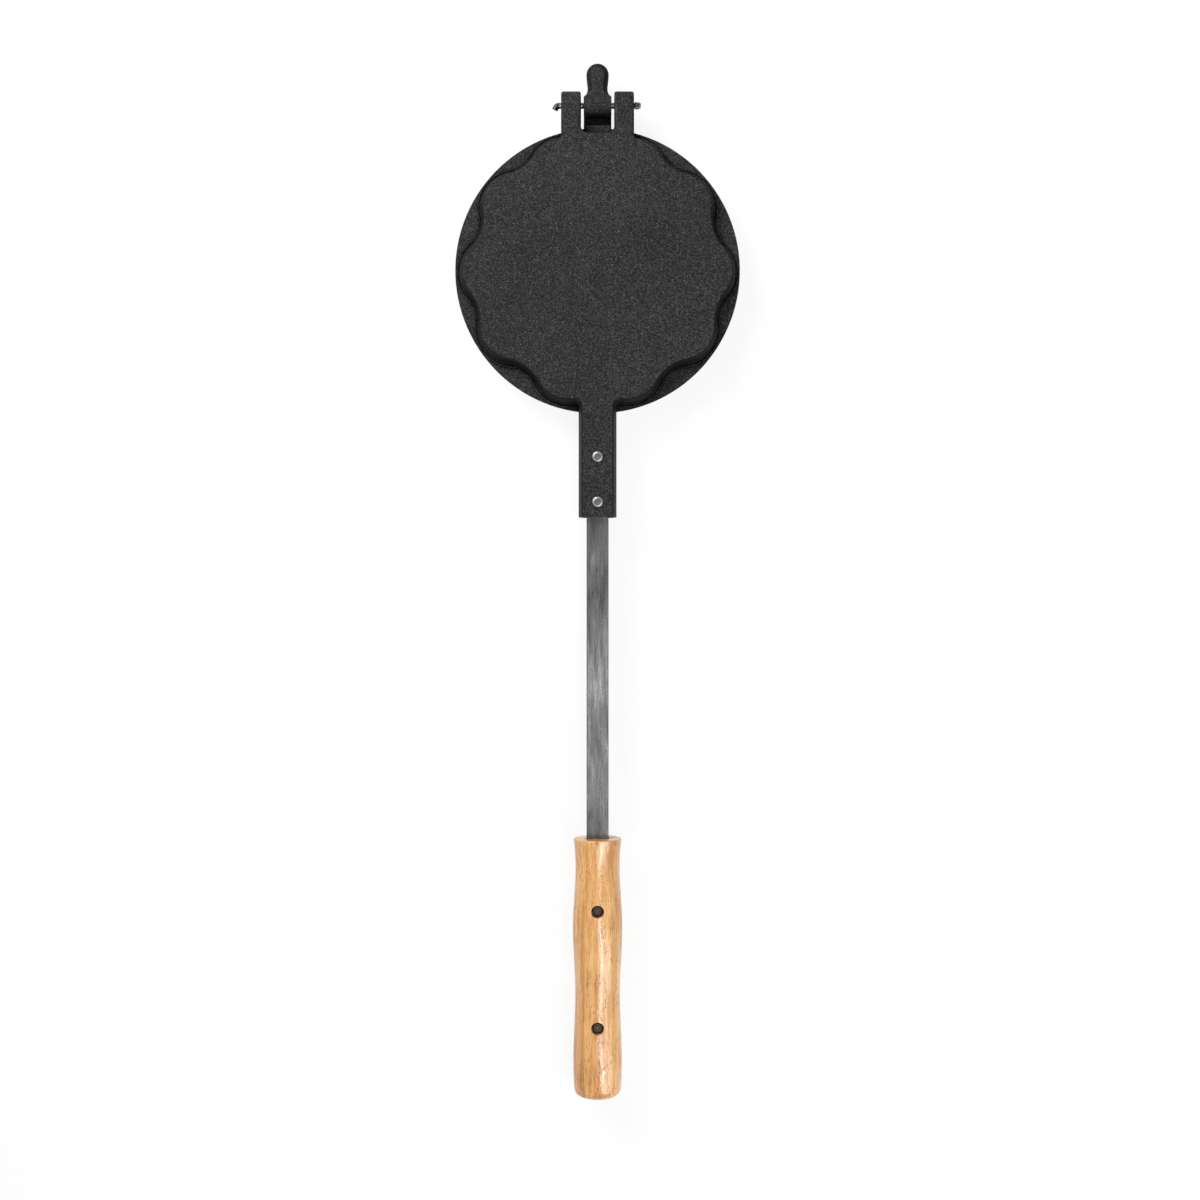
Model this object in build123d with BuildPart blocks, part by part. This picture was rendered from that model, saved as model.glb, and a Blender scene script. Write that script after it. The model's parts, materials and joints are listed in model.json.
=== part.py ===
from build123d import *
import math
import os

# Campfire waffle iron: two cast plates hinged at the far end, each with a flat steel bar and half of a round
# wooden grip. Millimetres, +Z up, +Y towards the hinge. The origin is the centre of the lower plate's back.

# Plates seen from above: lobes in pairs, one pair for each heart
heart_count = 5
first_heart_angle = 54.0
lobe_radius = 101.4
heart_notch_depth = 13.4
heart_gap_depth = 19.9
notch_fillet = 4.5
flange_margin = 2.5

# Lip of the upper plate, and its wall above the lip, which runs smoothly past the notches
lip_width = 0.7
lip_height = 1.5
wall_notch_fillet = 30.0

# Waffle moulds
upper_floor = 4.2
upper_mould_depth = 5.5
lower_floor = 5.2
lower_mould_depth = 13.0
mould_wall = 5.0
mould_notch_depth = 14.4
mould_gap_depth = 20.4
mould_draft = 10.0
mould_fillet = 3.0
ridge_width = 3.2
ridge_drop = 1.0
hub_radius = 10.0
stud_side = 8.4
stud_pitch = 13.4
stud_margin = 6.2
stud_draft = 18.0
upper_stud_height = 3.0
lower_stud_height = 4.6

# Outside of the castings
closing_gap = 0.3
casting_draft = 16.0
face_fillet = 1.6
back_fillet = 2.4
flange_thickness = 4.5
flange_fillet = 0.4

# Scalloped bead on the flange, which keeps the upper plate from sliding, and the groove inside it
bead_gap = 0.8
bead_width = 1.0
bead_height = 1.3
bead_end_gap = 1.2
groove_depth = 2.2

# Barrel and neck of the lower plate
hinge_reach = 16.1
barrel_radius = 7.7
barrel_width = 20.2
neck_step = 2.1
neck_drop = 7.0
arm_thickness = 8.2

# Ears of the upper plate
ear_radius = 9.5
ear_end_reach = 8.7
ear_thickness = 14.3
ear_side_gap = 2.05
ear_slot_depth = 21.2
ear_slot_fillet = 4.5
ear_corner_fillet = 4.0
ear_root_fillet = 2.6
flange_clearance = 1.0

# Lug beyond the barrel, which stops the opening upper plate
lug_length = 30.5
lug_width = 16.3
lug_neck_width = 16.0
lug_thickness = 10.4
lug_flare_reach = 4.9
lug_flare_slope = -0.4
lug_neck_reach = 8.8
lug_edge_fillet = 5.0

# Split pin
pin_diameter = 4.4
pin_clearance = 0.3
pin_end_play = 0.4
eye_width = 3.8
eye_reach = 1.6
eye_radius = 3.2
eye_hole_radius = 1.2
eye_edge_fillet = 0.7
leg_straight = 1.0
leg_bend_radius = 3.0
leg_bend_angle = 62.0
leg_tip = 1.8
leg_slit = 0.2

# Stems, bars and their rivets
stem_length = 180.2
stem_wall = 5.8
stem_root_fillet = 3.2
bar_width = 16.0
bar_thickness = 5.0
bar_lap = 68.2
bar_free_length = 234.0
bar_edge_fillet = 0.5
channel_clearance = 0.2
stem_rivet_inset = 10.7
stem_rivet_pitch = 32.7
rivet_diameter = 5.0
rivet_clearance = 0.1
rivet_sink_diameter = 7.6
rivet_sink_angle = 90.0
rivet_head_diameter = 8.5
rivet_head_height = 1.5
rivet_flat_diameter = 4.6
rivet_dimple_diameter = 1.6
rivet_dimple_depth = 0.4

# Grips, turned to two waists and two bellies, and their rivets
grip_length = 187.5
grip_front_radius = 17.5
front_waist_inset = 23.3
front_waist_radius = 16.1
front_belly_inset = 61.3
front_belly_radius = 18.1
rear_waist_inset = 78.1
rear_waist_radius = 16.3
rear_belly_inset = 27.7
rear_belly_radius = 17.8
grip_end_radius = 16.6
grip_front_fillet = 0.9
grip_end_fillet = 6.0
grip_edge_fillet = 0.5
bar_end_inset = 11.7
slot_clearance = 0.4
front_rivet_inset = 50.8
rear_rivet_inset = 52.5
grip_rivet_seat = 7.0
grip_rivet_head_diameter = 8.8
grip_rivet_head_height = 1.9
grip_rivet_flat_diameter = 5.2
counterbore_clearance = 0.2

# Heights
lower_height = lower_floor + lower_mould_depth
upper_height = upper_floor + upper_mould_depth
lower_rim_z = lower_height
upper_rim_z = lower_rim_z + closing_gap
face_z = upper_rim_z + upper_height
bar_outer_z = upper_rim_z + bar_thickness
grip_seat_z = bar_outer_z + grip_rivet_seat
grip_crest_z = upper_rim_z + front_belly_radius
parting_plane = Plane.XY.offset(lower_rim_z + closing_gap / 2)

# Places along the plates and the hinge
heart_angle = 360 / heart_count
lobe_angle = heart_angle / 2
flange_radius = lobe_radius + flange_margin
hinge_centre = (flange_radius + hinge_reach, face_z - ear_radius)
hinge_y, hinge_z = hinge_centre
ear_slot = barrel_width + 2 * ear_side_gap
ear_span = ear_slot + 2 * ear_thickness
root_start_y = lobe_radius - heart_gap_depth - mould_wall - ear_corner_fillet
hinge_plane = Plane(origin=(0, hinge_y, hinge_z), x_dir=(0, 1, 0), z_dir=(1, 0, 0))

# Places along the stems and the grips
stem_width = bar_width + 2 * stem_wall
stem_end_y = -stem_length
bar_start_y = stem_end_y + bar_lap
grip_front_y = stem_end_y - bar_free_length
grip_end_y = grip_front_y - grip_length
bar_end_y = grip_end_y + bar_end_inset
stem_rivet_places = [stem_end_y + stem_rivet_inset + stem_rivet_pitch, stem_end_y + stem_rivet_inset]
grip_rivet_places = [grip_front_y - front_rivet_inset, grip_end_y + rear_rivet_inset]

# Rivets and their holes
rivet_radius = rivet_diameter / 2
rivet_hole_radius = rivet_radius + rivet_clearance
sink_radius = rivet_sink_diameter / 2
sink_depth = (sink_radius - rivet_radius) / math.tan(math.radians(rivet_sink_angle / 2))

# Nearness within which a point counts as lying on a plane or a circle
touch = 0.01


def polar(radius, angle):
    """A point of a plan drawing, by its distance from the plate's centre and its direction in degrees."""
    return (radius * math.cos(math.radians(angle)), radius * math.sin(math.radians(angle)))


def lower_tangent(point, centre, radius):
    """Where the line from a point passes under a circle and touches it, in a side drawing."""
    direction = math.degrees(math.atan2(point[1] - centre[1], point[0] - centre[0]))
    opening = math.degrees(math.acos(radius / math.dist(point, centre)))
    along, up = polar(radius, direction + opening)
    return (centre[0] + along, centre[1] + up)


def facing_down(z):
    """A plane at height z that looks down, with +Y kept as it is."""
    return Plane(origin=(0, 0, z), x_dir=(-1, 0, 0), z_dir=(0, 0, -1))


def has_room(face, place, margin):
    """True for a place inside a flat face, at least the margin away from its outline."""
    return face.is_inside(place) and face.outer_wire().distance_to(place) > margin


def is_ear_root(edge):
    """True for the upright corners where an ear's outer side meets the plate's wall."""
    low, high = edge.vertices().sort_by(Axis.Z)
    beside_ear = abs(abs(low.X) - ear_span / 2) < touch and abs(abs(high.X) - ear_span / 2) < touch
    return beside_ear and low.Y < flange_radius and high.Z - low.Z > upper_height / 2


def is_stem_root(edge):
    """True for the corners where the drafted sides of the lower stem meet the tray."""
    slope = math.tan(math.radians(casting_draft))
    on_side = [
        abs(abs(corner.X) - stem_width / 2 + slope * (lower_rim_z - corner.Z)) < touch
        for corner in edge.vertices()
    ]
    return all(on_side) and edge.center().Y > -lobe_radius


def scallops(tip_radius, notch_depth, gap_depth):
    """Two arcs to a heart, with a notch in the middle of each heart and a deeper one between hearts."""
    with BuildLine() as arcs:
        for heart in range(heart_count):
            notch_angle = first_heart_angle + heart * heart_angle
            notch = polar(tip_radius - notch_depth, notch_angle)
            right_gap = polar(tip_radius - gap_depth, notch_angle - lobe_angle)
            left_gap = polar(tip_radius - gap_depth, notch_angle + lobe_angle)
            ThreePointArc(right_gap, polar(tip_radius, notch_angle - lobe_angle / 2), notch)
            ThreePointArc(notch, polar(tip_radius, notch_angle + lobe_angle / 2), left_gap)
    return arcs.line


# Plan of a plate's rim
lobes = scallops(lobe_radius, heart_notch_depth, heart_gap_depth)
with BuildSketch() as scallop:
    make_face(lobes)
    fillet(scallop.vertices(), radius=notch_fillet)

# Plan of the wall above the lip: one circle to a lobe, and one in the middle
with BuildSketch() as wall_plan:
    Circle(lobes.edges()[0].arc_center.length)
    for lobe in lobes.edges():
        with Locations(lobe.arc_center):
            Circle(lobe.radius - lip_width)
    fillet(wall_plan.vertices(), radius=wall_notch_fillet)

# The same plans with the stem, drawn longer than the stem, whose end is cut square later
stem_overlength = upper_height


def with_stem(plan):
    """A plate's plan joined with the stem's, the two corners between them rounded."""
    with BuildSketch() as joined:
        add(plan)
        with Locations((0, stem_end_y - stem_overlength)):
            Rectangle(stem_width, stem_length, align=(Align.CENTER, Align.MIN))
        corners = joined.vertices().filter_by(lambda corner: abs(abs(corner.X) - stem_width / 2) < touch)
        fillet(corners.sort_by(Axis.Y)[-2:], radius=stem_root_fillet)
    return joined.sketch


lip_and_stem = with_stem(scallop.sketch)
wall_and_stem = with_stem(wall_plan.sketch)

# Plans of the hearts between their ridges, and of the strips in which the ridges lie lower than the rim
mould_radius = lobe_radius - mould_wall
with BuildSketch() as hearts:
    make_face(scallops(mould_radius, mould_notch_depth, mould_gap_depth))
    with PolarLocations(0, heart_count, start_angle=first_heart_angle + lobe_angle):
        Rectangle(2 * lobe_radius, ridge_width, align=(Align.MIN, Align.CENTER), mode=Mode.SUBTRACT)
    Circle(hub_radius, mode=Mode.SUBTRACT)
    fillet(hearts.vertices(), radius=mould_fillet)

strip_width = ridge_width + 2 * ridge_drop
with BuildSketch() as ridge_strips:
    with PolarLocations(0, heart_count, start_angle=first_heart_angle + lobe_angle):
        Rectangle(mould_radius - mould_gap_depth, strip_width, align=(Align.MIN, Align.CENTER))
    Circle(hub_radius + strip_width / 2)

# Plan of the studs: in each heart a lattice along its two ridges, kept clear of the walls
stud_places = []
lattice_size = math.ceil(lobe_radius / stud_pitch)
for heart in range(heart_count):
    notch_angle = first_heart_angle + heart * heart_angle
    for row in range(1, lattice_size):
        for column in range(1, lattice_size):
            along_left = Vector(*polar(row * stud_pitch, notch_angle + lobe_angle))
            along_right = Vector(*polar(column * stud_pitch, notch_angle - lobe_angle))
            place = along_left + along_right
            if any(has_room(face, place, stud_margin) for face in hearts.faces()):
                stud_places.append(Location((place.X, place.Y, 0), (0, 0, notch_angle)))

# A stud is a rhomb whose sides run along the two ridges of its heart
stud_half_length, stud_half_width = polar(stud_side, lobe_angle)
with BuildSketch() as studs:
    with Locations(*stud_places):
        Polygon(
            (stud_half_length, 0),
            (0, stud_half_width),
            (-stud_half_length, 0),
            (0, -stud_half_width),
        )

# Where the ears and the stem of the upper plate cross the bead and its groove
stem_opening = stem_width + 2 * (stem_root_fillet + bead_end_gap)
with BuildSketch() as crossings:
    Rectangle(ear_span + 2 * bead_end_gap, 2 * flange_radius, align=(Align.CENTER, Align.MIN))
    Rectangle(stem_opening, 2 * flange_radius, align=(Align.CENTER, Align.MAX))

# Plans of the groove around the rim and of the bead that bounds it, both left open at the crossings
with BuildSketch() as bead_inside:
    add(scallop.sketch)
    offset(amount=bead_gap, kind=Kind.ARC)

with BuildSketch() as groove_plan:
    add(bead_inside.sketch)
    add(scallop.sketch, mode=Mode.SUBTRACT)
    add(crossings.sketch, mode=Mode.SUBTRACT)

with BuildSketch() as bead_plan:
    add(scallop.sketch)
    offset(amount=bead_gap + bead_width, kind=Kind.ARC)
    add(bead_inside.sketch, mode=Mode.SUBTRACT)
    add(crossings.sketch, mode=Mode.SUBTRACT)

# Plans of the channel that holds a bar, and of the rivet holes in a stem
channel_length = bar_lap + bar_width
with BuildSketch() as channel_plan:
    with Locations((0, bar_start_y + channel_clearance)):
        Rectangle(bar_width + 2 * channel_clearance, channel_length, align=(Align.CENTER, Align.MAX))

with BuildSketch() as stem_holes:
    with Locations(*[(0, y) for y in stem_rivet_places]):
        Circle(rivet_hole_radius)

# Upper plate
ear_end_y = hinge_y + ear_end_reach
ear_end_z = hinge_z - math.sqrt(ear_radius**2 - ear_end_reach**2)
ear_low_corner = (flange_radius + flange_clearance, upper_rim_z)
ear_underside = lower_tangent(ear_low_corner, hinge_centre, ear_radius)
with BuildPart() as upper_plate:
    # Lip, wall and stem
    with BuildSketch(Plane.XY.offset(upper_rim_z)):
        add(lip_and_stem)
    extrude(amount=lip_height)
    with BuildSketch(Plane.XY.offset(upper_rim_z + lip_height)):
        add(wall_and_stem)
    extrude(amount=upper_height - lip_height, taper=casting_draft)
    split(bisect_by=Plane(origin=(0, stem_end_y, 0), z_dir=(0, 1, 0)), keep=Keep.TOP)

    # Ears, joined to the plate by one block that the slot divides
    with BuildSketch(Plane.YZ):
        with BuildLine():
            Polyline((root_start_y, face_z), (root_start_y, upper_rim_z), ear_low_corner, ear_underside)
            RadiusArc(ear_underside, (ear_end_y, ear_end_z), -ear_radius)
            Polyline((ear_end_y, ear_end_z), (ear_end_y, face_z), (root_start_y, face_z))
        make_face()
    extrude(amount=ear_span / 2, both=True)
    with BuildSketch(Plane.XY.offset(upper_rim_z)) as slot:
        with Locations((0, hinge_y - ear_slot_depth)):
            Rectangle(ear_slot, 2 * ear_slot_depth, align=(Align.CENTER, Align.MIN))
        fillet(slot.vertices().group_by(Axis.Y)[0], radius=ear_slot_fillet)
    extrude(amount=2 * ear_radius, both=True, mode=Mode.SUBTRACT)

    # Rounded junctions and edges
    end_edges = upper_plate.faces().sort_by(Axis.Z)[-1].edges().filter_by(Axis.X).sort_by(Axis.Y)[-2:]
    fillet(end_edges, radius=ear_corner_fillet)
    fillet(upper_plate.edges().filter_by(is_ear_root), radius=ear_root_fillet)
    face_edges = upper_plate.faces().sort_by(Axis.Z)[-1].edges()
    fillet(face_edges.sort_by(Axis.Y)[1:], radius=face_fillet)

    # Moulds, open to the rim
    with BuildSketch(Plane.XY.offset(upper_rim_z)):
        add(hearts.sketch)
    extrude(amount=upper_mould_depth, taper=mould_draft, mode=Mode.SUBTRACT)
    with BuildSketch(Plane.XY.offset(upper_rim_z)):
        add(ridge_strips.sketch)
    extrude(amount=ridge_drop, mode=Mode.SUBTRACT)
    with BuildSketch(facing_down(face_z - upper_floor)):
        add(studs.sketch)
    extrude(amount=upper_stud_height, taper=stud_draft)

    # Channel for the bar, rivet holes and pin bore
    with BuildSketch(Plane.XY.offset(upper_rim_z)):
        add(channel_plan.sketch)
    extrude(amount=bar_thickness, mode=Mode.SUBTRACT)
    with BuildSketch(Plane.XY.offset(upper_rim_z)):
        add(stem_holes.sketch)
    extrude(amount=upper_height, mode=Mode.SUBTRACT)
    with BuildSketch(hinge_plane):
        Circle(pin_diameter / 2 + pin_clearance)
    extrude(amount=ear_span, both=True, mode=Mode.SUBTRACT)

# Lug of the lower plate, rounded all round
lug_root = (barrel_width / 2, hinge_y + lug_flare_reach)
lug_neck = (lug_neck_width / 2, hinge_y + lug_neck_reach)
lug_shoulder = (lug_width / 2, hinge_y + lug_length - lug_width / 2)
with BuildPart() as lug:
    with BuildSketch(Plane.XY.offset(hinge_z - lug_thickness / 2)):
        with BuildLine():
            Polyline((0, hinge_y), (barrel_width / 2, hinge_y), lug_root)
            Spline(lug_root, lug_neck, lug_shoulder, tangents=((lug_flare_slope, 1), (0, 1)))
            RadiusArc(lug_shoulder, (0, hinge_y + lug_length), -lug_width / 2)
            Line((0, hinge_y + lug_length), (0, hinge_y))
        make_face()
        mirror(about=Plane.YZ)
    extrude(amount=lug_thickness)
    lug_edges = lug.edges().filter_by(Axis.Z, reverse=True)
    fillet(lug_edges.filter_by(lambda edge: edge.center().Y > lug_root[1]), radius=lug_edge_fillet)

# Moulds of the lower plate, drawn upwards and then mirrored in the rim's plane
with BuildPart() as lower_moulds:
    with BuildSketch(Plane.XY.offset(lower_rim_z)):
        add(hearts.sketch)
    extrude(amount=lower_mould_depth, taper=mould_draft)

# Lower plate
neck_floor_z = lower_rim_z - neck_drop
arm_bottom_z = neck_floor_z - arm_thickness
arm_bottom_corner = (flange_radius, arm_bottom_z)
arm_underside = lower_tangent(arm_bottom_corner, hinge_centre, barrel_radius)
with BuildPart() as lower_plate:
    # Stem, as wide and high as the upper plate's
    with BuildSketch(facing_down(lower_rim_z)):
        with Locations((0, stem_end_y - stem_overlength)):
            Rectangle(stem_width, stem_length, align=(Align.CENTER, Align.MIN))
    extrude(amount=upper_height, taper=casting_draft)
    split(bisect_by=Plane(origin=(0, stem_end_y, 0), z_dir=(0, 1, 0)), keep=Keep.TOP)
    stem_edges = lower_plate.faces().sort_by(Axis.Z)[0].edges()
    fillet(stem_edges.filter_by(Axis.Y), radius=face_fillet)

    # Tray down to the flat back
    with BuildSketch(facing_down(lower_rim_z)):
        add(wall_plan.sketch)
    extrude(amount=lower_height, taper=casting_draft)
    fillet(lower_plate.edges().filter_by(is_stem_root), radius=stem_root_fillet)
    fillet(lower_plate.faces().sort_by(Axis.Z)[0].edges(), radius=back_fillet)

    # Round flange
    with BuildSketch(facing_down(lower_rim_z)):
        Circle(flange_radius)
    extrude(amount=flange_thickness)
    flange_edges = lower_plate.edges().filter_by(GeomType.CIRCLE)
    flange_edges = flange_edges.filter_by(lambda edge: abs(edge.radius - flange_radius) < touch)
    fillet(flange_edges, radius=flange_fillet)

    # Arm, neck and barrel of the hinge
    with BuildSketch(Plane.YZ):
        Polygon(
            (root_start_y, lower_rim_z),
            (flange_radius + neck_step, lower_rim_z),
            (flange_radius + neck_step, neck_floor_z),
            (hinge_y, neck_floor_z),
            hinge_centre,
            arm_underside,
            arm_bottom_corner,
            (root_start_y, arm_bottom_z),
            align=None,
        )
        with Locations(hinge_centre):
            Circle(barrel_radius)
    extrude(amount=barrel_width / 2, both=True)

    # Barrel's far corners, cut aslant towards the lug
    barrel_far_y = hinge_y + barrel_radius
    with BuildSketch():
        Polygon(lug_root, (barrel_width / 2, barrel_far_y), (lug_neck[0], barrel_far_y), align=None)
        mirror(about=Plane.YZ)
    extrude(amount=face_z, mode=Mode.SUBTRACT)
    add(lug.part)

    # Bead on the flange, and the groove inside it
    with BuildSketch(Plane.XY.offset(lower_rim_z)):
        add(bead_plan.sketch)
    extrude(amount=bead_height)
    with BuildSketch(facing_down(lower_rim_z)):
        add(groove_plan.sketch)
    extrude(amount=groove_depth, mode=Mode.SUBTRACT)

    # Moulds
    add(mirror(lower_moulds.part, about=Plane.XY.offset(lower_rim_z)), mode=Mode.SUBTRACT)
    with BuildSketch(facing_down(lower_rim_z)):
        add(ridge_strips.sketch)
    extrude(amount=ridge_drop, mode=Mode.SUBTRACT)
    with BuildSketch(Plane.XY.offset(lower_floor)):
        add(studs.sketch)
    extrude(amount=lower_stud_height, taper=stud_draft)

    # Channel for the bar, rivet holes and pin bore
    with BuildSketch(facing_down(lower_rim_z)):
        add(channel_plan.sketch)
    extrude(amount=bar_thickness, mode=Mode.SUBTRACT)
    with BuildSketch(facing_down(lower_rim_z)):
        add(stem_holes.sketch)
    extrude(amount=upper_height, mode=Mode.SUBTRACT)
    with BuildSketch(hinge_plane):
        Circle(pin_diameter / 2 + pin_clearance)
    extrude(amount=ear_span, both=True, mode=Mode.SUBTRACT)

# Split pin: shank, upright eye on the right, and two bent legs on the left
pin_radius = pin_diameter / 2
shoulder_x = ear_span / 2 + pin_end_play
leg_start = Plane(origin=(-shoulder_x, hinge_y, hinge_z), x_dir=(0, 1, 0), z_dir=(1, 0, 0))
upright_plane = Plane.XZ.offset(-hinge_y)


def leg_path(plane, across):
    """A leg's line in the given plane: straight out to the left, round a bend, then straight to the tip."""
    with BuildLine(plane) as path:
        straight = Line((-shoulder_x, across), (-shoulder_x - leg_straight, across))
        bend = JernArc(straight @ 1, tangent=(-1, 0), radius=leg_bend_radius, arc_size=leg_bend_angle)
        tip_x, tip_across = polar(leg_tip, 180 + leg_bend_angle)
        bend_end = plane.to_local_coords(bend @ 1)
        Line((bend_end.X, bend_end.Y), (bend_end.X + tip_x, bend_end.Y + tip_across))
    return path.line


with BuildPart() as hinge_pin:
    with BuildSketch(leg_start):
        Circle(pin_radius)
    extrude(amount=2 * shoulder_x)
    with BuildSketch(upright_plane):
        with Locations((shoulder_x + eye_reach, hinge_z)):
            Circle(eye_radius)
            Circle(eye_hole_radius, mode=Mode.SUBTRACT)
        with Locations((shoulder_x, hinge_z)):
            Rectangle(eye_radius, 2 * eye_radius, align=(Align.MAX, Align.CENTER), mode=Mode.SUBTRACT)
    extrude(amount=eye_width / 2, both=True)
    eye_edges = hinge_pin.faces().filter_by(Axis.Y).edges().filter_by(GeomType.CIRCLE)
    fillet(eye_edges, radius=eye_edge_fillet)
    with BuildSketch(leg_start):
        Circle(pin_radius)
        with Locations((0, leg_slit / 2)):
            Rectangle(pin_diameter, pin_diameter, align=(Align.CENTER, Align.MAX), mode=Mode.SUBTRACT)
    sweep(path=leg_path(Plane.XY.offset(hinge_z), hinge_y))
    with BuildSketch(leg_start):
        Circle(pin_radius)
        with Locations((0, -leg_slit / 2)):
            Rectangle(pin_diameter, pin_diameter, align=(Align.CENTER, Align.MIN), mode=Mode.SUBTRACT)
    sweep(path=leg_path(upright_plane, hinge_z))

# Bars, with sunk rivet holes on the side that faces the other bar
with BuildPart() as upper_bar:
    with BuildSketch(Plane.XY.offset(upper_rim_z)):
        with Locations((0, bar_start_y)):
            Rectangle(bar_width, bar_start_y - bar_end_y, align=(Align.CENTER, Align.MAX))
    extrude(amount=bar_thickness)
    fillet(upper_bar.edges().filter_by(Axis.Y), radius=bar_edge_fillet)
    with Locations(facing_down(upper_rim_z)):
        with Locations(*[(0, y) for y in stem_rivet_places + grip_rivet_places]):
            CounterSinkHole(
                radius=rivet_hole_radius,
                counter_sink_radius=sink_radius + rivet_clearance,
                counter_sink_angle=rivet_sink_angle,
            )

with BuildPart() as lower_bar:
    mirror(upper_bar.part, about=parting_plane)

# Grips: half-rounds, slotted along the flat side for the bar
grip_outline = [
    (grip_front_radius, grip_front_y),
    (front_waist_radius, grip_front_y - front_waist_inset),
    (front_belly_radius, grip_front_y - front_belly_inset),
    (rear_waist_radius, grip_end_y + rear_waist_inset),
    (rear_belly_radius, grip_end_y + rear_belly_inset),
    (grip_end_radius, grip_end_y),
]
with BuildPart() as upper_grip:
    with BuildSketch(Plane.XY.offset(upper_rim_z)) as grip_half:
        with BuildLine():
            Line((0, grip_front_y), grip_outline[0])
            Spline(*grip_outline)
            Polyline(grip_outline[-1], (0, grip_end_y), (0, grip_front_y))
        make_face()
        outer_corners = grip_half.vertices().sort_by(Axis.X)[2:].sort_by(Axis.Y)
        fillet(outer_corners[-1], radius=grip_front_fillet)
        fillet(grip_half.vertices().group_by(Axis.Y)[0].sort_by(Axis.X)[-1], radius=grip_end_fillet)
    revolve(axis=Axis((0, 0, upper_rim_z), (0, -1, 0)), revolution_arc=180)
    fillet(upper_grip.faces().sort_by(Axis.Z)[0].edges().sort_by(Axis.Y)[1:-1], radius=grip_edge_fillet)
    with BuildSketch(Plane.XY.offset(upper_rim_z)):
        with Locations((0, grip_front_y)):
            slot_length = grip_length - bar_end_inset + slot_clearance
            Rectangle(bar_width + 2 * slot_clearance, slot_length, align=(Align.CENTER, Align.MAX))
    extrude(amount=bar_thickness, mode=Mode.SUBTRACT)
    with Locations(*[(0, y, grip_crest_z) for y in grip_rivet_places]):
        CounterBoreHole(
            radius=rivet_hole_radius,
            counter_bore_radius=grip_rivet_head_diameter / 2 + counterbore_clearance,
            counter_bore_depth=grip_crest_z - grip_seat_z,
        )

with BuildPart() as lower_grip:
    mirror(upper_grip.part, about=parting_plane)


def make_rivet(y, seat_z, head_diameter, head_height, flat_diameter):
    """An upright rivet of the upper half: sunk tail in the bar, and a dimpled dome of a head on its seat."""
    head_top_z = seat_z + head_height
    head_radius = head_diameter / 2
    flat_radius = flat_diameter / 2
    with BuildPart() as rivet:
        with BuildSketch(Plane.XZ.offset(-y)):
            with BuildLine():
                Polyline(
                    (0, upper_rim_z),
                    (sink_radius, upper_rim_z),
                    (rivet_radius, upper_rim_z + sink_depth),
                    (rivet_radius, seat_z),
                    (head_radius, seat_z),
                )
                EllipticalCenterArc((flat_radius, seat_z), head_radius - flat_radius, head_height)
                Polyline(
                    (flat_radius, head_top_z),
                    (rivet_dimple_diameter / 2, head_top_z),
                    (0, head_top_z - rivet_dimple_depth),
                    (0, upper_rim_z),
                )
            make_face()
        revolve(axis=Axis((0, y, 0), (0, 0, 1)))
    return rivet.part


pieces = {
    "upper_plate": upper_plate.part,
    "lower_plate": lower_plate.part,
    "hinge_pin": hinge_pin.part,
    "upper_bar": upper_bar.part,
    "lower_bar": lower_bar.part,
    "upper_grip": upper_grip.part,
    "lower_grip": lower_grip.part,
}
stem_head = (face_z, rivet_head_diameter, rivet_head_height, rivet_flat_diameter)
grip_head = (grip_seat_z, grip_rivet_head_diameter, grip_rivet_head_height, grip_rivet_flat_diameter)
rivet_rows = {"stem": (stem_rivet_places, stem_head), "grip": (grip_rivet_places, grip_head)}
for row_name, (row_places, head) in rivet_rows.items():
    for number, rivet_y in enumerate(row_places, start=1):
        upper_rivet = make_rivet(rivet_y, *head)
        pieces[f"upper_{row_name}_rivet_{number}"] = upper_rivet
        pieces[f"lower_{row_name}_rivet_{number}"] = mirror(upper_rivet, about=parting_plane)

os.makedirs("parts", exist_ok=True)
for name, piece in pieces.items():
    piece.label = name
    export_step(piece, f"parts/{name}.step")
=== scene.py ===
import json
import math

import bpy
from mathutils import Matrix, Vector


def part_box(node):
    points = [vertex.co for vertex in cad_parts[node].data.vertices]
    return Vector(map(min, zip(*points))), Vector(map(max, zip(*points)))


# The looks of the campfire waffle iron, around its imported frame. Metres, in the frame of the model.
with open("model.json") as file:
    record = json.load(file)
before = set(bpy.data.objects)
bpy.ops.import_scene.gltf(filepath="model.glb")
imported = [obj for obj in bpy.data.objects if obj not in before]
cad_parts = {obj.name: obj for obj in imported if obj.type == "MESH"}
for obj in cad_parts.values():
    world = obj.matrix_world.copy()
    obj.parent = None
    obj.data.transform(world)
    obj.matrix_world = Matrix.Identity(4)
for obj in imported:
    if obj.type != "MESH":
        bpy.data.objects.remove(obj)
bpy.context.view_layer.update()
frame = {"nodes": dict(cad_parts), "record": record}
scene = bpy.context.scene

MM = 0.001


def grey(level):
    """A neutral colour."""
    return (level, level, level)


# Camera: straight above the iron, with the hinge at the top of the picture
camera_height = 1.2225
camera_x = 0.00177
camera_y = -0.2405
picture_width_px = 1200
focal_length_px = 1650
sensor_width_mm = 36.0

camera_data = bpy.data.cameras.new("camera")
camera_data.sensor_width = sensor_width_mm
camera_data.lens = sensor_width_mm * focal_length_px / picture_width_px
camera = bpy.data.objects.new("camera", camera_data)
camera.location = (camera_x, camera_y, camera_height)
scene.collection.objects.link(camera)
scene.camera = camera
scene.view_settings.view_transform = "Standard"


# Light: a key behind the hinge, a strip for the varnish, a low box beside the grip, one above the bars
def area_light(name, place, target, size, watts):
    """A soft box that faces its target."""
    data = bpy.data.lights.new(name, "AREA")
    data.shape = "RECTANGLE"
    data.size, data.size_y = size
    data.energy = watts
    light = bpy.data.objects.new(name, data)
    light.location = place
    light.rotation_euler = (Vector(target) - Vector(place)).to_track_quat("-Z", "Y").to_euler()
    scene.collection.objects.link(light)


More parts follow.
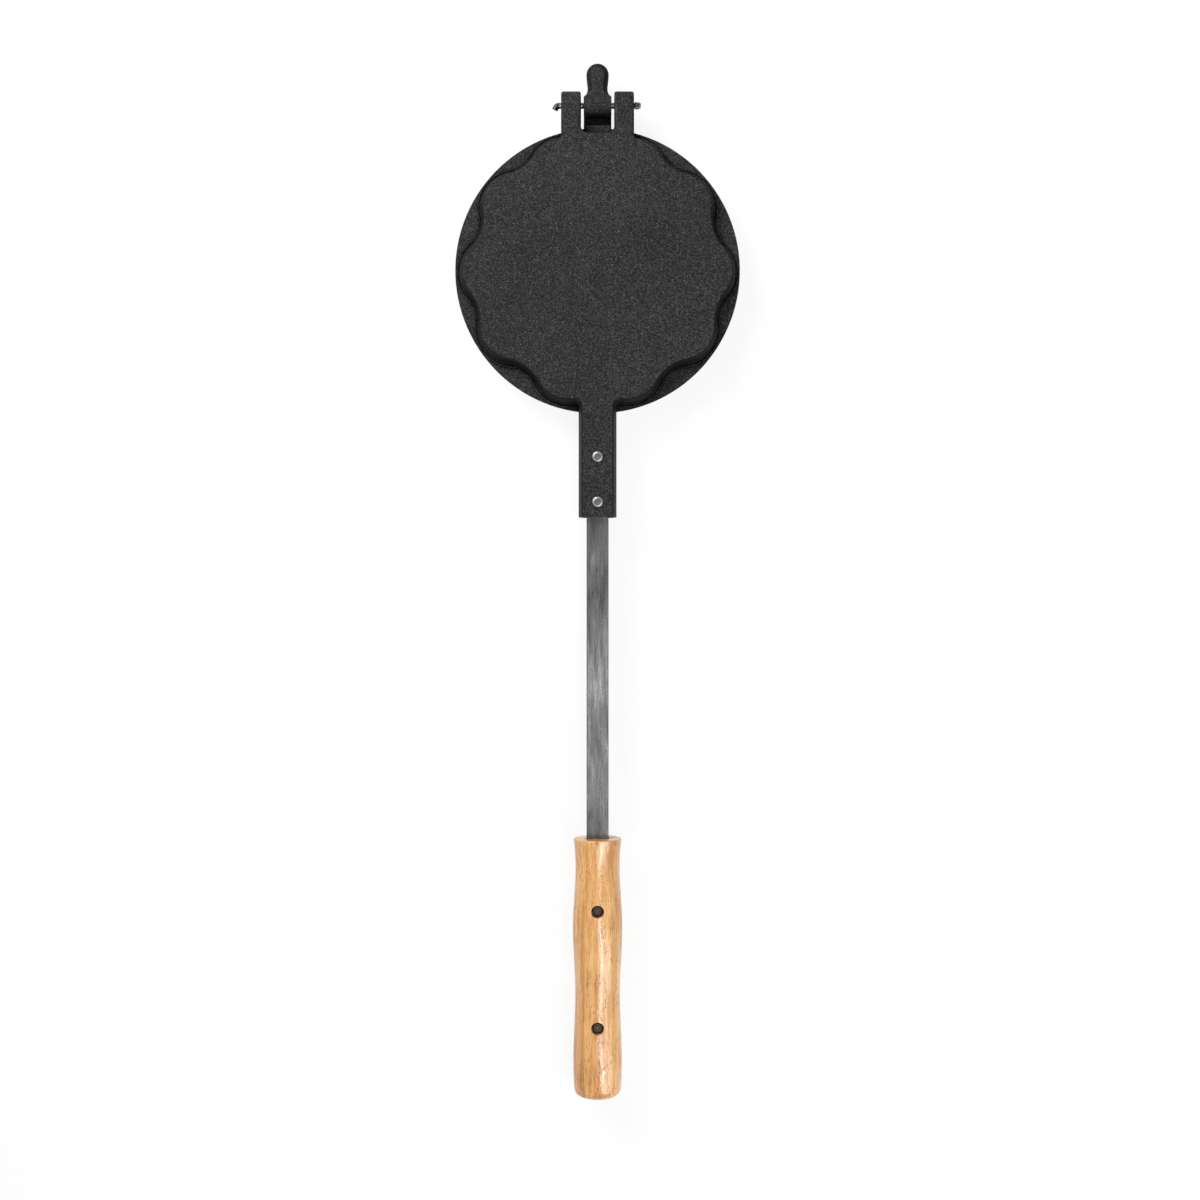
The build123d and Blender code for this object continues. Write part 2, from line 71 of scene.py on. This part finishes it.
# Name, place, target, width and height, and watts of each lamp
lamps = [
    ("key", (-0.75, 0.80, 0.86), (0.0, -0.10, 0.0), (0.8, 0.6), 27.0),
    ("strip", (0.66, -1.10, 1.90), (0.0, -0.5, 0.0), (0.28, 1.1), 20.0),
    ("side", (0.65, -0.85, 0.55), (0.0, -0.55, 0.0), (0.3, 0.5), 3.0),
    ("overhead", (0.0, -0.42, 2.0), (0.0, -0.42, 0.0), (0.50, 0.20), 3.0),
]
for lamp in lamps:
    area_light(*lamp)

room_light = 0.18
backdrop_white = 1.0
world = bpy.data.worlds.new("studio")
scene.world = world
world.use_nodes = True
world_nodes = world.node_tree.nodes
world_links = world.node_tree.links
world_light = world_nodes["Background"]
world_light.inputs["Color"].default_value = (*grey(room_light), 1.0)
world_seen = world_nodes.new("ShaderNodeBackground")
world_seen.inputs["Color"].default_value = (*grey(backdrop_white), 1.0)
world_path = world_nodes.new("ShaderNodeLightPath")
world_mix = world_nodes.new("ShaderNodeMixShader")
world_links.new(world_path.outputs["Is Camera Ray"], world_mix.inputs["Fac"])
world_links.new(world_light.outputs["Background"], world_mix.inputs[1])
world_links.new(world_seen.outputs["Background"], world_mix.inputs[2])
world_links.new(world_mix.outputs["Shader"], world_nodes["World Output"].inputs["Surface"])


class Surface:
    """A material under construction. Its patterns are measured in millimetres of the object."""

    def __init__(self, name):
        self.material = bpy.data.materials.new(name)
        self.material.use_nodes = True
        self.nodes = self.material.node_tree.nodes
        self.links = self.material.node_tree.links
        self.shader = self.nodes["Principled BSDF"]
        on_object = self.nodes.new("ShaderNodeTexCoord")
        self.place = on_object.outputs["Object"]
        self.facing = on_object.outputs["Normal"]

    def put(self, socket, value):
        """Gives a socket a number, a colour or another node's output."""
        if isinstance(value, bpy.types.NodeSocket):
            self.links.new(value, socket)
        elif isinstance(value, tuple) and len(value) == 3 and socket.type == "RGBA":
            socket.default_value = (*value, 1.0)
        else:
            socket.default_value = value

    def set(self, **values):
        """Sets the shader's own sockets."""
        for name, value in values.items():
            self.put(self.shader.inputs[name.replace("_", " ").title().replace("Ior", "IOR")], value)

    def millimetres(self, stretch=(1.0, 1.0, 1.0), centre=(0.0, 0.0, 0.0), turn=(0.0, 0.0, 0.0)):
        """The place on the object in millimetres from a centre, turned, then divided by the stretch."""
        moved = self.nodes.new("ShaderNodeMapping")
        self.put(moved.inputs["Vector"], self.place)
        moved.inputs["Scale"].default_value = (1.0 / MM, 1.0 / MM, 1.0 / MM)
        moved.inputs["Location"].default_value = tuple(-c for c in centre)
        turned = self.nodes.new("ShaderNodeMapping")
        self.put(turned.inputs["Vector"], moved.outputs["Vector"])
        turned.inputs["Rotation"].default_value = turn
        stretched = self.nodes.new("ShaderNodeMapping")
        self.put(stretched.inputs["Vector"], turned.outputs["Vector"])
        stretched.inputs["Scale"].default_value = tuple(1.0 / s for s in stretch)
        return stretched.outputs["Vector"]

    def lengthwise(self, times, centre=(0.0, 0.0, 0.0)):
        """The place in millimetres for a pattern that is drawn out along the iron."""
        return self.millimetres(stretch=(1.0, times, 1.0), centre=centre)

    def noise(self, place, size, detail=3.0, roughness=0.5, distortion=0.0):
        """Cloudy noise from 0 to 1 whose blobs have the given size."""
        node = self.nodes.new("ShaderNodeTexNoise")
        self.put(node.inputs["Vector"], place)
        node.inputs["Scale"].default_value = 1.0 / size
        node.inputs["Detail"].default_value = detail
        node.inputs["Roughness"].default_value = roughness
        node.inputs["Distortion"].default_value = distortion
        return node.outputs["Fac"]

    def cells(self, place, size):
        """Distance to the nearest of scattered points that lie about the given size apart."""
        node = self.nodes.new("ShaderNodeTexVoronoi")
        self.put(node.inputs["Vector"], place)
        node.inputs["Scale"].default_value = 1.0 / size
        return node.outputs["Distance"]

    def between(self, value, low, high, start=0.0, end=1.0):
        """Maps low..high to start..end, and clips it."""
        node = self.nodes.new("ShaderNodeMapRange")
        self.put(node.inputs["Value"], value)
        node.inputs["From Min"].default_value = low
        node.inputs["From Max"].default_value = high
        node.inputs["To Min"].default_value = start
        node.inputs["To Max"].default_value = end
        return node.outputs["Result"]

    def fade(self, value, low, high):
        """1 up to low, 0 from high on."""
        return self.between(value, low, high, start=1.0, end=0.0)

    def math(self, operation, a, b=0.0):
        """One step of arithmetic."""
        node = self.nodes.new("ShaderNodeMath")
        node.operation = operation
        self.put(node.inputs[0], a)
        self.put(node.inputs[1], b)
        return node.outputs["Value"]

    def blend(self, *shares):
        """The sum of (share, value) pairs."""
        total = None
        for share, value in shares:
            part = self.math("MULTIPLY", value, share)
            total = part if total is None else self.math("ADD", total, part)
        return total

    def mix(self, factor, a, b):
        """Mixes two colours."""
        node = self.nodes.new("ShaderNodeMix")
        node.data_type = "RGBA"
        self.put(node.inputs["Factor"], factor)
        colour_inputs = [socket for socket in node.inputs if socket.type == "RGBA"]
        self.put(colour_inputs[0], a)
        self.put(colour_inputs[1], b)
        return next(socket for socket in node.outputs if socket.type == "RGBA")

    def ramp(self, value, *stops):
        """A colour ramp of (position, colour) stops."""
        node = self.nodes.new("ShaderNodeValToRGB")
        self.put(node.inputs["Fac"], value)
        elements = node.color_ramp.elements
        while len(elements) < len(stops):
            elements.new(0.5)
        for element, (position, colour) in zip(elements, stops):
            element.position = position
            element.color = (*colour, 1.0)
        return node.outputs["Color"]

    def parts(self, vector):
        """The x, y and z of a vector."""
        node = self.nodes.new("ShaderNodeSeparateXYZ")
        self.put(node.inputs["Vector"], vector)
        return node.outputs["X"], node.outputs["Y"], node.outputs["Z"]

    def distance(self, place):
        """How far a place is from the pattern's upright axis."""
        x, y, _ = self.parts(place)
        return self.math("SQRT", self.math("ADD", self.math("POWER", x, 2.0), self.math("POWER", y, 2.0)))

    def bump(self, height, depth_mm, under=None):
        """Adds relief of the given depth, over another relief if there is one."""
        node = self.nodes.new("ShaderNodeBump")
        node.inputs["Strength"].default_value = 1.0
        node.inputs["Distance"].default_value = depth_mm * MM
        self.put(node.inputs["Height"], height)
        if under is not None:
            self.put(node.inputs["Normal"], under)
        return node.outputs["Normal"]

    def openness(self, reach_mm):
        """1 in the open, towards 0 in grooves and corners that are narrower than the reach."""
        node = self.nodes.new("ShaderNodeAmbientOcclusion")
        node.samples = 8
        node.inputs["Distance"].default_value = reach_mm * MM
        return node.outputs["AO"]


# Cast iron: a wrinkled sand grain that runs aslant, shallow lumps, painted shade in the grooves, a few
# painted glints
def cast_iron():
    axle_y, barrel_radius, barrel_edge = 120.0, 9.0, 0.5
    stem_root_y, stem_root_edge = -105.0, 2.0
    surface = Surface("cast_iron")
    place = surface.millimetres()
    aslant = surface.millimetres(stretch=(1.0, 1.8, 1.0), turn=(0.0, 0.0, math.radians(-52.0)))
    wrinkles = surface.noise(aslant, size=0.58, detail=1.0, distortion=0.4)
    grain = surface.noise(place, size=0.6, detail=1.0, roughness=0.6)
    lumps = surface.noise(place, size=9.0, detail=2.0)
    clouds = surface.noise(place, size=60.0, detail=2.0)
    painted_glints = surface.fade(surface.cells(place, size=5.0), 0.06, 0.11)
    relief = surface.bump(lumps, depth_mm=0.12)
    relief = surface.bump(wrinkles, depth_mm=0.50, under=relief)
    relief = surface.bump(grain, depth_mm=0.12, under=relief)
    tone = surface.blend((0.74, wrinkles), (0.18, grain), (0.08, clouds))
    colour = surface.ramp(
        tone,
        (0.32, (0.002, 0.002, 0.0021)),
        (0.50, (0.0150, 0.0150, 0.0152)),
        (0.68, grey(0.072)),
    )
    # Painted highlights: a few scattered specks are made bright in the colour
    colour = surface.mix(surface.math("MULTIPLY", painted_glints, 0.6), colour, grey(0.16))

    # Painted shade on the rounded edges, but for the barrel, and on the steep walls of the plates, but for
    # the stems
    _, _, upward = surface.parts(surface.facing)
    flatness = surface.math("ABSOLUTE", upward)
    shaded_rounding = surface.between(flatness, 0.30, 0.55)
    shaded_rounding = surface.math("MULTIPLY", shaded_rounding, surface.fade(flatness, 0.90, 0.98))
    _, along, _ = surface.parts(place)
    from_axle = surface.math("ABSOLUTE", surface.math("SUBTRACT", along, axle_y))
    off_barrel = surface.between(from_axle, barrel_radius - barrel_edge, barrel_radius + barrel_edge)
    shaded_rounding = surface.math("MULTIPLY", shaded_rounding, off_barrel)
    off_stem = surface.between(along, stem_root_y - stem_root_edge, stem_root_y + stem_root_edge)
    shaded_walls = surface.math("MULTIPLY", surface.fade(flatness, 0.35, 0.60), off_stem)
    # Painted shade: these slopes are darkened towards black in the colour
    painted_shade = surface.math("MULTIPLY", surface.math("MAXIMUM", shaded_rounding, shaded_walls), 0.92)
    colour = surface.mix(painted_shade, colour, grey(0.003))
    # Painted shade: grooves and corners narrower than the 6 mm reach are darkened to near black in the
    # colour, and made rougher
    open_air = surface.between(surface.openness(reach_mm=6.0), 0.50, 0.82)
    colour = surface.mix(open_air, grey(0.001), colour)
    surface.set(
        base_color=colour,
        roughness=surface.between(open_air, 0.0, 1.0, start=0.95, end=0.62),
        normal=relief,
        specular_ior_level=0.15,
    )
    return surface.material


# Flat bar: dark cold-drawn steel, brushed lengthwise, with long pale and dark streaks, darker beside the stem
def bar_steel():
    darkening_start_y, darkening_full_y, darkening_depth = -262.0, -205.0, 0.050
    surface = Surface("bar_steel")
    hairlines = surface.noise(surface.lengthwise(22.0), size=0.7, roughness=0.7)
    long_streaks = surface.noise(surface.lengthwise(8.0), size=3.2, roughness=0.55, distortion=0.5)
    patches = surface.noise(surface.lengthwise(2.4, centre=(0.0, 31.0, 0.0)), size=21.0, detail=2.0)
    grain = surface.noise(surface.lengthwise(1.5), size=0.7, detail=2.0, roughness=0.6)
    tone = surface.blend((0.30, hairlines), (0.20, long_streaks), (0.32, patches), (0.18, grain))
    _, along, _ = surface.parts(surface.millimetres())
    # Darker towards the stem: the tone is lowered from y -262 mm, fully from -205 mm on
    toward_stem = surface.between(along, darkening_start_y, darkening_full_y)
    tone = surface.math("SUBTRACT", tone, surface.math("MULTIPLY", toward_stem, darkening_depth))
    colour = surface.ramp(tone, (0.36, grey(0.060)), (0.50, grey(0.140)), (0.64, grey(0.305)))
    relief = surface.bump(hairlines, depth_mm=0.03)
    relief = surface.bump(grain, depth_mm=0.02, under=relief)
    streaked = surface.blend((0.5, hairlines), (0.5, long_streaks))
    rough = surface.between(streaked, 0.35, 0.65, start=0.48, end=0.34)
    surface.set(base_color=colour, metallic=0.85, roughness=rough, normal=relief)
    return surface.material


# Dull zinc plate of the split pin, with painted shade on the bent legs
def zinc_plate():
    ear_face_x, leg_edge = -28.0, 0.5
    surface = Surface("zinc_plate")
    place = surface.millimetres()
    spots = surface.noise(place, size=0.9, roughness=0.6)
    fine = surface.noise(place, size=0.3, detail=2.0)
    colour = surface.ramp(spots, (0.42, (0.06, 0.06, 0.061)), (0.60, (0.62, 0.62, 0.63)))
    across, _, _ = surface.parts(place)
    off_shaded_legs = surface.between(across, ear_face_x - leg_edge, ear_face_x + leg_edge)
    # Painted shade: the bent legs beyond the ear's face are coloured near black
    colour = surface.mix(off_shaded_legs, (0.045, 0.044, 0.043), colour)
    relief = surface.bump(spots, depth_mm=0.05)
    relief = surface.bump(fine, depth_mm=0.01, under=relief)
    rough = surface.between(spots, 0.3, 0.7, start=0.5, end=0.24)
    surface.set(base_color=colour, metallic=1.0, roughness=rough, normal=relief)
    return surface.material


# Peened rivet head: a dished middle inside a pale ring, with the marks of the tool
def rivet_steel(name, centre):
    ring_step = 1.05
    surface = Surface(name)
    place = surface.millimetres(centre=centre)
    away = surface.distance(place)
    rings = surface.math("SINE", surface.math("MULTIPLY", away, 2.0 * math.pi / ring_step))
    facets = surface.noise(place, size=1.1, detail=2.0, distortion=1.4)
    grain = surface.noise(place, size=0.5, roughness=0.6)
    rim_outside = surface.between(away, 3.5, 3.9, start=1.0, end=0.2)
    rim = surface.math("MULTIPLY", surface.between(away, 2.2, 2.9), rim_outside)
    tone = surface.blend((0.26, facets), (0.22, grain), (0.42, rim), (0.06, rings))
    colour = surface.ramp(tone, (0.14, grey(0.07)), (0.34, grey(0.185)), (0.72, grey(0.43)))
    relief = surface.bump(rings, depth_mm=0.02)
    relief = surface.bump(facets, depth_mm=0.06, under=relief)
    relief = surface.bump(grain, depth_mm=0.02, under=relief)
    rough = surface.between(grain, 0.3, 0.7, start=0.55, end=0.42)
    surface.set(base_color=colour, metallic=0.9, roughness=rough, normal=relief)
    return surface.material


# Rivet at the bottom of a grip's hole: rough brown-black, partly its own dark finish and partly painted shade
# of the deep hole, with one small pale spot in the middle
def dark_steel(name, centre):
    surface = Surface(name)
    place = surface.millimetres(centre=centre)
    away = surface.distance(place)
    grain = surface.noise(place, size=0.7, roughness=0.65)
    clouds = surface.noise(place, size=2.0, detail=2.0)
    # Partly painted shade: the colour is darkened for the shade at the bottom of the deep hole, over the
    # rivet's own dark finish
    colour = surface.ramp(
        grain,
        (0.36, (0.008, 0.004, 0.003)),
        (0.54, (0.034, 0.018, 0.012)),
        (0.68, (0.17, 0.105, 0.075)),
    )
    pale_spot = surface.math("MULTIPLY", surface.fade(away, 0.15, 0.5), surface.between(clouds, 0.2, 0.5))
    colour = surface.mix(pale_spot, colour, (0.50, 0.42, 0.34))
    relief = surface.bump(grain, depth_mm=0.12)
    relief = surface.bump(clouds, depth_mm=0.2, under=relief)
    rough = surface.between(clouds, 0.3, 0.7, start=0.62, end=0.42)
    surface.set(base_color=colour, metallic=0.3, roughness=rough, normal=relief)
    return surface.material


# Varnished light hardwood: straight streaks, short pores and a few small knots along the grip
def grip_wood():
    surface = Surface("grip_wood")
    drawn_out = surface.lengthwise(24.0, centre=(3.0, 0.0, 0.0))
    bands = surface.noise(drawn_out, size=7.5, detail=2.0, distortion=0.2)
    streaks = surface.noise(surface.lengthwise(22.0), size=1.7, roughness=0.6)
    fibres = surface.noise(surface.lengthwise(12.0), size=0.65, roughness=0.65)
    blotches = surface.noise(surface.lengthwise(2.5), size=14.0, detail=2.0)
    tone = surface.blend((0.30, bands), (0.26, streaks), (0.28, fibres), (0.16, blotches))
    colour = surface.ramp(
        tone,
        (0.39, (0.80, 0.505, 0.235)),
        (0.46, (0.69, 0.392, 0.157)),
        (0.53, (0.56, 0.268, 0.088)),
        (0.61, (0.37, 0.135, 0.035)),
    )
    pores = surface.fade(surface.cells(surface.lengthwise(4.5), size=0.95), 0.14, 0.30)
    porous = surface.between(surface.noise(surface.lengthwise(3.0), size=5.0, detail=2.0), 0.44, 0.58)
    pores = surface.math("MULTIPLY", pores, porous)
    colour = surface.mix(surface.math("MULTIPLY", pores, 0.85), colour, (0.24, 0.070, 0.020))
    knots = surface.fade(surface.cells(surface.lengthwise(4.0), size=13.0), 0.03, 0.06)
    colour = surface.mix(surface.math("MULTIPLY", knots, 0.6), colour, (0.20, 0.06, 0.022))
    relief = surface.bump(streaks, depth_mm=0.03)
    relief = surface.bump(fibres, depth_mm=0.09, under=relief)
    relief = surface.bump(surface.math("SUBTRACT", 1.0, pores), depth_mm=0.25, under=relief)
    surface.set(
        base_color=colour,
        roughness=surface.between(fibres, 0.3, 0.7, start=0.16, end=0.36),
        normal=relief,
        coat_weight=0.22,
        coat_roughness=0.12,
    )
    return surface.material


finishes = {
    "casting": cast_iron(),
    "bar_steel": bar_steel(),
    "zinc": zinc_plate(),
    "grip_wood": grip_wood(),
}
rivet_finishes = {"rivet_steel": rivet_steel, "dark_steel": dark_steel}


def finish_of(part):
    """The finish of a node. Each rivet has its own, whose marks are set around its axis."""
    slot = part["material_slot"]
    if slot in finishes:
        return finishes[slot]
    lowest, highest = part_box(part["node"])
    centre = tuple((a + b) / 2 / MM for a, b in zip(lowest, highest))
    return rivet_finishes[slot](f"{slot}_{part['node']}", centre)


for part in frame["record"]["subparts"]:
    materials = frame["nodes"][part["node"]].data.materials
    materials.clear()
    materials.append(finish_of(part))


# Floor: a pale sheet that the camera sees as white, with the iron's shadow on it
def floor_material():
    glow_share = 0.88
    surface = Surface("floor")
    tree = surface.material.node_tree
    surface.set(base_color=grey(0.86), roughness=0.9)
    glow = tree.nodes.new("ShaderNodeEmission")
    glow.inputs["Color"].default_value = (1.0, 1.0, 1.0, 1.0)
    glow.inputs["Strength"].default_value = 1.0
    path = tree.nodes.new("ShaderNodeLightPath")
    seen = surface.math("MAXIMUM", path.outputs["Is Camera Ray"], path.outputs["Is Glossy Ray"])
    seen = surface.math("MAXIMUM", seen, path.outputs["Is Transmission Ray"])
    mixed = tree.nodes.new("ShaderNodeMixShader")
    tree.links.new(surface.math("MULTIPLY", seen, glow_share), mixed.inputs["Fac"])
    tree.links.new(surface.shader.outputs["BSDF"], mixed.inputs[1])
    tree.links.new(glow.outputs["Emission"], mixed.inputs[2])
    tree.links.new(mixed.outputs["Shader"], tree.nodes["Material Output"].inputs["Surface"])
    return surface.material


floor_half = 6.0
floor_corners = [(-floor_half, -floor_half, 0), (floor_half, -floor_half, 0)]
floor_corners += [(floor_half, floor_half, 0), (-floor_half, floor_half, 0)]
floor_mesh = bpy.data.meshes.new("floor")
floor_mesh.from_pydata(floor_corners, [], [(0, 1, 2, 3)])
floor = bpy.data.objects.new("floor", floor_mesh)
scene.collection.objects.link(floor)
floor_mesh.materials.append(floor_material())
